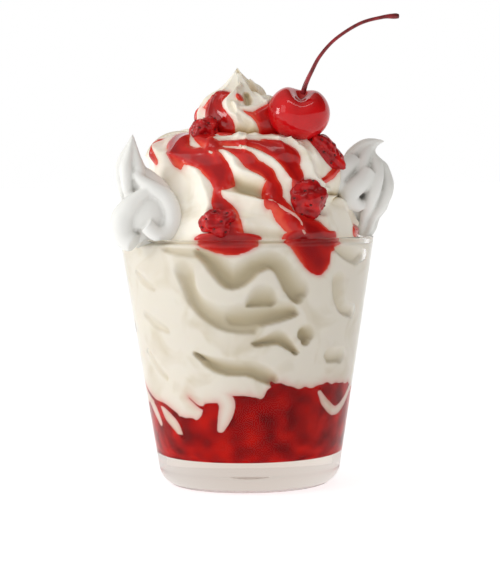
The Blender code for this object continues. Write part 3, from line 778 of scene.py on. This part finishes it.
def make_strawberry(number, centre, half_sizes, turns):
    bpy.ops.mesh.primitive_ico_sphere_add(subdivisions=5, radius=1)
    berry = bpy.context.object
    berry.name = f"strawberry_lump_{number}"
    seeds = [(way + 0.12 * noise.noise_vector(way * 3)).normalized() for way in spread(SEEDS)]
    sizes = Vector(half_sizes) * MM

    def surface(way):
        lump = 1 + 0.3 * noise.noise(way * 1.5 + Vector((7 * number, 0, 0)))
        lump += 0.1 * noise.noise(way * 3.4 + Vector((0, 3 * number, 0)))
        lump += 0.02 * noise.noise(way * 9)
        return Vector(a * b for a, b in zip(way, sizes)) * lump

    spots = [surface(way) for way in seeds]
    for vert in berry.data.vertices:
        way = vert.co.normalized()
        point = surface(way)
        nearest = min((point - spot).length for spot in spots)
        dimple = 0.3 * MM * math.exp(-((nearest / (0.8 * MM)) ** 2))
        vert.co = point - way * dimple
    berry.data.materials.append(berry_flesh)
    berry.data.materials.append(berry_seed)
    berry.data.shade_smooth()
    pieces = [berry]
    for way, spot in zip(seeds, spots):
        bpy.ops.mesh.primitive_uv_sphere_add(segments=10, ring_count=6, radius=1)
        seed = bpy.context.object
        seed.data.materials.append(berry_seed)
        seed.data.shade_smooth()
        turned = way.to_track_quat("Z", "Y")
        seed.matrix_world = Matrix.LocRotScale(spot - way * 0.2 * MM, turned, Vector(SEED_SIZE))
        pieces.append(seed)
    with bpy.context.temp_override(active_object=berry, selected_editable_objects=pieces):
        bpy.ops.object.join()
    turned = Euler([math.radians(turn) for turn in turns])
    berry.data.transform(Matrix.LocRotScale(Vector(centre) * MM, turned, None))
    return berry


# Ripe flesh under a film of syrup: uneven deep red with a wet shine.
berry_flesh = finish("wet_strawberry_flesh", "#a81016", 0.22, 1.38)
place = node(berry_flesh, "ShaderNodeTexCoord").outputs["Object"]
blotches = node(berry_flesh, "ShaderNodeTexNoise", {"Vector": place, "Scale": 330, "Detail": 3}).outputs["Fac"]
join_to(
    berry_flesh, "Base Color", ramp(berry_flesh, blotches, (0.3, "#860a10"), (0.7, "#d21a1a"), (0.5, "#ae1016"))
)
berry_seed = finish("strawberry_seed", "#5c0c0c", 0.35, 1.45)
for number, lump in enumerate(STRAWBERRIES, 1):
    berry = make_strawberry(number, *lump)
    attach(berry, "root")
    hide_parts(f"strawberry_piece_{number}")

# ---------------------------------------------------------------- the whipped cream
# Two dollops of whipped cream, piped on the rim last: dense, cool white and matt. Each is made of
# ropes that run into one another, so they are melted into one skin and smoothed.

LEFT_DOLLOP = {  # how deep the body's grooves are, then ropes of (x, y, z, thickness) in mm
    "grooves": 0.0,
    "body": (
        (-33, -23, 84, 4),
        (-33, -21.5, 88, 9),
        (-33, -21.2, 94, 10.2),
        (-33, -21.5, 100, 8.6),
        (-35, -22.5, 105.5, 5.6),
        (-36.5, -23, 108.5, 3.5),
    ),
    "flame": (
        (-36.0, -23, 96, 6.0),
        (-37.2, -24, 101, 5.2),
        (-38.2, -24, 105.5, 5.6),
        (-38.6, -24, 109.7, 5.6),
        (-38.5, -24, 113.5, 4.1),
        (-38.1, -24, 117.5, 2.1),
        (-37.8, -24, 121.3, 0.25),
    ),
    "curl": (
        (-37.0, -27.2, 108.5, 1.6),
        (-34.6, -27.8, 105.4, 2.2),
        (-31.0, -28.6, 103.0, 2.7),
        (-27.4, -28.4, 100.6, 3.0),
        (-25.2, -28.2, 96.6, 3.1),
        (-24.8, -28.4, 92.2, 3.2),
        (-26.4, -29.2, 88.7, 3.0),
        (-29.8, -30.6, 88.0, 2.6),
        (-33.4, -31.6, 91.0, 2.7),
    ),
    "lobe": (
        (-32.2, -28.8, 102.6, 2.0),
        (-35.6, -29.2, 100.2, 2.4),
        (-38.6, -28.9, 97.2, 3.4),
        (-40.8, -27.8, 93.8, 4.3),
        (-41.2, -27.0, 90.2, 4.7),
        (-40.2, -27.4, 86.9, 4.3),
        (-37.4, -28.6, 85.0, 3.4),
    ),
}
RIGHT_DOLLOP = {
    "grooves": 0.36,
    "body": (
        (40.0, 4, 85.5, 3.5),
        (40.5, 4, 88.5, 4.8),
        (40.8, 4, 92.0, 5.8),
        (41.0, 4, 95.5, 8.8),
        (40.8, 4, 99.5, 10.6),
        (40.6, 4, 104.0, 10.8),
        (40.8, 4, 108.5, 9.4),
        (41.2, 4, 113.0, 6.9),
        (42.6, 4, 116.2, 3.8),
        (45.2, 4, 117.8, 1.6),
        (48.4, 4, 118.3, 0.25),
    ),
    "curl": ((37, -1, 111, 3.4), (33.4, -5.0, 109.2, 3.8), (30.6, -7.5, 105.8, 3.7), (31.5, -7.5, 103, 3.0), (35, -4, 102, 2.4)),
    "lobe": ((42, -3.0, 108, 3.0), (39.6, -5.0, 104.5, 3.4), (35.4, -7.5, 101, 3.5), (35.4, -7.0, 98, 3.0), (39, -3, 96, 2.4)),
}


def sweep(name, route, steps, sides, material, lobes=0, grooves=0.0, twist=0.0):
    """A rope along a smooth curve through (x, y, z, thickness) places, with its sections square to it.

    Its section is a star of so many lobes, which turns by the twist from one end to the other.
    """
    stations = samples(route, steps) * MM
    centres = stations[:, :3]
    outward = Vector((0, -1, 0))
    rings = []
    for k, (*centre, thickness) in enumerate(stations):
        along = Vector(centres[min(k + 1, len(centres) - 1)] - centres[max(k - 1, 0)]).normalized()
        outward = (outward - along * outward.dot(along)).normalized()
        across = along.cross(outward)
        for angle in np.arange(sides) * math.tau / sides:
            reach = thickness * (1 - grooves * (1 - abs(math.sin(lobes * angle / 2)) ** 0.7))
            turned = angle + twist * k / len(stations)
            rings.append(Vector(centre) + (outward * math.cos(turned) + across * math.sin(turned)) * float(reach))
    faces = turned_faces(len(stations), sides)
    faces += [tuple(range(sides))[::-1], tuple(range(len(rings) - sides, len(rings)))]
    return new_piece(name, rings, faces, material)


def make_dollop(name, ropes, material):
    pieces = [sweep(name, ropes["body"], 6, 70, material, 7, ropes["grooves"], 1.9)]
    for part, lobes, grooves in (("flame", 5, 0.4), ("curl", 0, 0), ("lobe", 0, 0)):
        if part in ropes:
            pieces.append(sweep(part, ropes[part], 8, 50, material, lobes, grooves, 0.5))
    with bpy.context.temp_override(active_object=pieces[0], selected_editable_objects=pieces):
        bpy.ops.object.join()
    dollop = pieces[0]
    bpy.context.view_layer.objects.active = dollop
    melted = dollop.modifiers.new("melted", "REMESH")
    melted.mode = "VOXEL"
    melted.voxel_size = 0.4 * MM
    smoothed = dollop.modifiers.new("smoothed", "SMOOTH")
    smoothed.iterations = 8
    for modifier in (melted, smoothed):
        bpy.ops.object.modifier_apply(modifier=modifier.name)
    dollop.data.shade_smooth()
    return dollop


# Matt and dense, a cool white with painted shade: an ambient-occlusion ramp paints it grey deep in its grooves. It has
# a fine grain of air bubbles.
whipped_cream = finish(
    "whipped_dairy_cream",
    "#efefec",
    0.5,
    1.35,
    subsurface_weight=0.05,
    subsurface_scale=0.002,
    subsurface_radius=(1.0, 0.9, 0.8),
)
# Painted shade: the ambient occlusion of the dollop's own skin paints its grooves grey.
openness = node(
    whipped_cream, "ShaderNodeAmbientOcclusion", {"Distance": 6 * MM}, only_local=True, samples=8
).outputs["AO"]
join_to(
    whipped_cream, "Base Color", ramp(whipped_cream, openness, (0.25, "#96948f"), (0.92, "#ebebe8"), (0.6, "#d0cfcb"))
)
place = node(whipped_cream, "ShaderNodeTexCoord").outputs["Object"]
bubbles = node(whipped_cream, "ShaderNodeTexNoise", {"Vector": place, "Scale": 1600, "Detail": 1}).outputs["Fac"]
grain = node(whipped_cream, "ShaderNodeBump", {"Height": bubbles, "Strength": 0.15, "Distance": 0.05 * MM})
join_to(whipped_cream, "Normal", grain.outputs["Normal"])
for name, ropes in (("whipped_cream_left", LEFT_DOLLOP), ("whipped_cream_right", RIGHT_DOLLOP)):
    dollop = make_dollop(name.replace("whipped_cream", "dollop"), ropes, whipped_cream)
    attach(dollop, "root")
    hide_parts(name)

# ---------------------------------------------------------------- the cherry
# A cocktail cherry, dyed bright red and wet with its syrup. Two rounded shoulders stand either side of
# the dimple that its stem grows from.

CHERRY_CENTRE = Vector((18.0, -17.0, 127.9)) * MM
CHERRY_RADIUS = 10.6 * MM
CHERRY_HALF_HEIGHT = 9.4 * MM
DIMPLE_DEPTH = 4.6 * MM
DIMPLE_RADIUS = 3.4 * MM
DIMPLE_LENGTH = 6.5 * MM  # the dimple runs on into a groove from front to back
CHERRY_LEAN = (math.radians(22), math.radians(8))  # towards the front, and to the right

bpy.ops.mesh.primitive_uv_sphere_add(segments=96, ring_count=64, radius=1)
cherry = bpy.context.object
cherry.name = "cocktail_cherry"
for vert in cherry.data.vertices:
    x, y, z = vert.co
    across = CHERRY_RADIUS * math.hypot(x / DIMPLE_RADIUS, y / DIMPLE_LENGTH)
    dimple = DIMPLE_DEPTH * math.exp(-(across**2)) if z > 0 else 0
    vert.co = (x * CHERRY_RADIUS, y * CHERRY_RADIUS, z * CHERRY_HALF_HEIGHT - dimple)
forward, sideways = CHERRY_LEAN
cherry.data.transform(
    Matrix.Translation(CHERRY_CENTRE) @ Matrix.Rotation(sideways, 4, "Y") @ Matrix.Rotation(forward, 4, "X")
)
cherry.data.shade_smooth()
# Taut skin under a film of syrup: a broad soft window and sharp small highlights on an even dyed red,
# a little paler in slow blotches where the dye took less.
cherry_skin = finish("dyed_cherry_skin", "#c20810", 0.07, 1.43)
place = node(cherry_skin, "ShaderNodeTexCoord").outputs["Object"]
blotches = node(cherry_skin, "ShaderNodeTexNoise", {"Vector": place, "Scale": 130, "Detail": 2}).outputs["Fac"]
join_to(cherry_skin, "Base Color", ramp(cherry_skin, blotches, (0.35, "#b8060e"), (0.7, "#d01218")))
cherry.data.materials.append(cherry_skin)
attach(cherry, "root")
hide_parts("cherry")

# ---------------------------------------------------------------- the stem
# The cherry's own stem: dark red, tough and thin, curved to the right, with a small knob at its end
# where it grew from the tree.

STEM_ROUTE = (  # x, y, z and thickness in mm, from the dimple to the knob
    (19.4, -19.4, 134.3, 0.95),
    (20.4, -21.0, 137.4, 0.8),
    (22.2, -22.0, 141.2, 0.7),
    (25.3, -22.5, 146.7, 0.62),
    (30.6, -22.5, 152.3, 0.58),
    (38.8, -20.5, 157.4, 0.6),
    (46.5, -17.5, 159.6, 0.65),
    (50.6, -16.0, 160.0, 0.95),
    (52.0, -15.5, 160.0, 0.8),
)
# A smooth woody skin stained by the syrup, darker and browner in fine streaks.
stalk = finish("stained_cherry_stalk", "#7a1518", 0.3, 1.45)
place = node(stalk, "ShaderNodeTexCoord").outputs["Object"]
streaks = node(stalk, "ShaderNodeTexNoise", {"Vector": place, "Scale": 400, "Detail": 3}).outputs["Fac"]
join_to(stalk, "Base Color", ramp(stalk, streaks, (0.35, "#5c1112"), (0.65, "#98202a")))
stem = sweep("cherry_stalk", STEM_ROUTE, 12, 20, stalk)
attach(stem, "root")
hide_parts("cherry_stem")

# ---------------------------------------------------------------- the studio
# A white floor lit from below like a light table, under a white sky that is dimmer and warmer to the
# right, a large soft lamp to the front left, and a camera a little above the rim.

bpy.ops.mesh.primitive_plane_add(size=30, location=(0, 0, -0.1 * MM))
studio_floor = bpy.context.object
studio_floor.name = "studio_floor"
white_table = finish("matt_white_light_table", "#a8a8a8", 0.9, 1.45, emission_color=(1, 1, 1, 1))
white_table.node_tree.nodes["Principled BSDF"].inputs["Emission Strength"].default_value = 0.85
studio_floor.data.materials.append(white_table)

world = bpy.data.worlds.new("studio")
bpy.context.scene.world = world
world.use_nodes = True
TOWARDS_LIGHT = Vector((-0.62, -0.45, 0.64))
way_out = node(world, "ShaderNodeTexCoord").outputs["Generated"]
parts = node(world, "ShaderNodeSeparateXYZ", {"Vector": way_out}).outputs
behind = node(world, "ShaderNodeMath", {0: parts["Y"], 1: 0}, operation="MAXIMUM").outputs[0]
sweep_share = node(world, "ShaderNodeMath", {0: behind, 1: 4}, operation="POWER").outputs[0]
height = node(world, "ShaderNodeMath", {0: sweep_share, 1: -1.5, 2: parts["Z"]}, operation="MULTIPLY_ADD").outputs[0]
facing = node(
    world, "ShaderNodeVectorMath", {0: way_out, 1: TOWARDS_LIGHT.normalized()}, operation="DOT_PRODUCT"
).outputs["Value"]
light_share = node(
    world,
    "ShaderNodeMapRange",
    {"Value": facing, "From Min": -0.2, "From Max": 1.0},
    interpolation_type="SMOOTHSTEP",
).outputs["Result"]
above_horizon = node(
    world,
    "ShaderNodeMapRange",
    {"Value": height, "From Min": 0.09, "From Max": 0.17},
    interpolation_type="SMOOTHSTEP",
).outputs["Result"]
sky = node(world, "ShaderNodeMix", {0: light_share}, data_type="RGBA")
sky.inputs[6].default_value = (0.11, 0.085, 0.062, 1)
sky.inputs[7].default_value = (0.58, 0.57, 0.54, 1)
backdrop = node(world, "ShaderNodeMix", {0: above_horizon, 7: sky.outputs[2]}, data_type="RGBA")
backdrop.inputs[6].default_value = (1, 1, 1, 1)
world.node_tree.links.new(backdrop.outputs[2], world.node_tree.nodes["Background"].inputs["Color"])


def add_lamp(name, place, target, size, power):
    bpy.ops.object.light_add(type="AREA", location=place)
    lamp = bpy.context.object
    lamp.name = name
    lamp.data.shape = "RECTANGLE"
    lamp.data.size, lamp.data.size_y = size
    lamp.data.energy = power
    lamp.rotation_mode = "QUATERNION"
    lamp.rotation_quaternion = (Vector(target) - Vector(place)).to_track_quat("-Z", "Y")
    return lamp


add_lamp("key_softbox", (-0.75, -0.5, 0.5), (0, 0, 0.1), (0.35, 0.5), 0.9)
add_lamp("side_window", (-0.78, -0.12, 0.27), (0, 0, 0.1), (0.2, 0.3), 1.8)
add_lamp("top_strip", (0.05, -0.25, 0.85), (0, 0, 0.12), (0.6, 0.12), 0.8)

bpy.ops.object.camera_add(location=(0.00087, -0.75, 0.10837))
camera = bpy.context.object
camera.data.lens = 138.8
camera.data.clip_start = 0.01
pitch, roll = 0.0506, -0.01228
camera.rotation_mode = "QUATERNION"
ahead = Vector((0, math.cos(pitch), -math.sin(pitch)))
upward = Vector((0, math.sin(pitch), math.cos(pitch)))
right = Vector((1, 0, 0)) * math.cos(roll) + upward * math.sin(roll)
upward = right.cross(ahead)
camera.rotation_quaternion = Matrix((right, upward, -ahead)).transposed().to_quaternion()
bpy.context.scene.camera = camera
bpy.context.scene.view_settings.view_transform = "Standard"
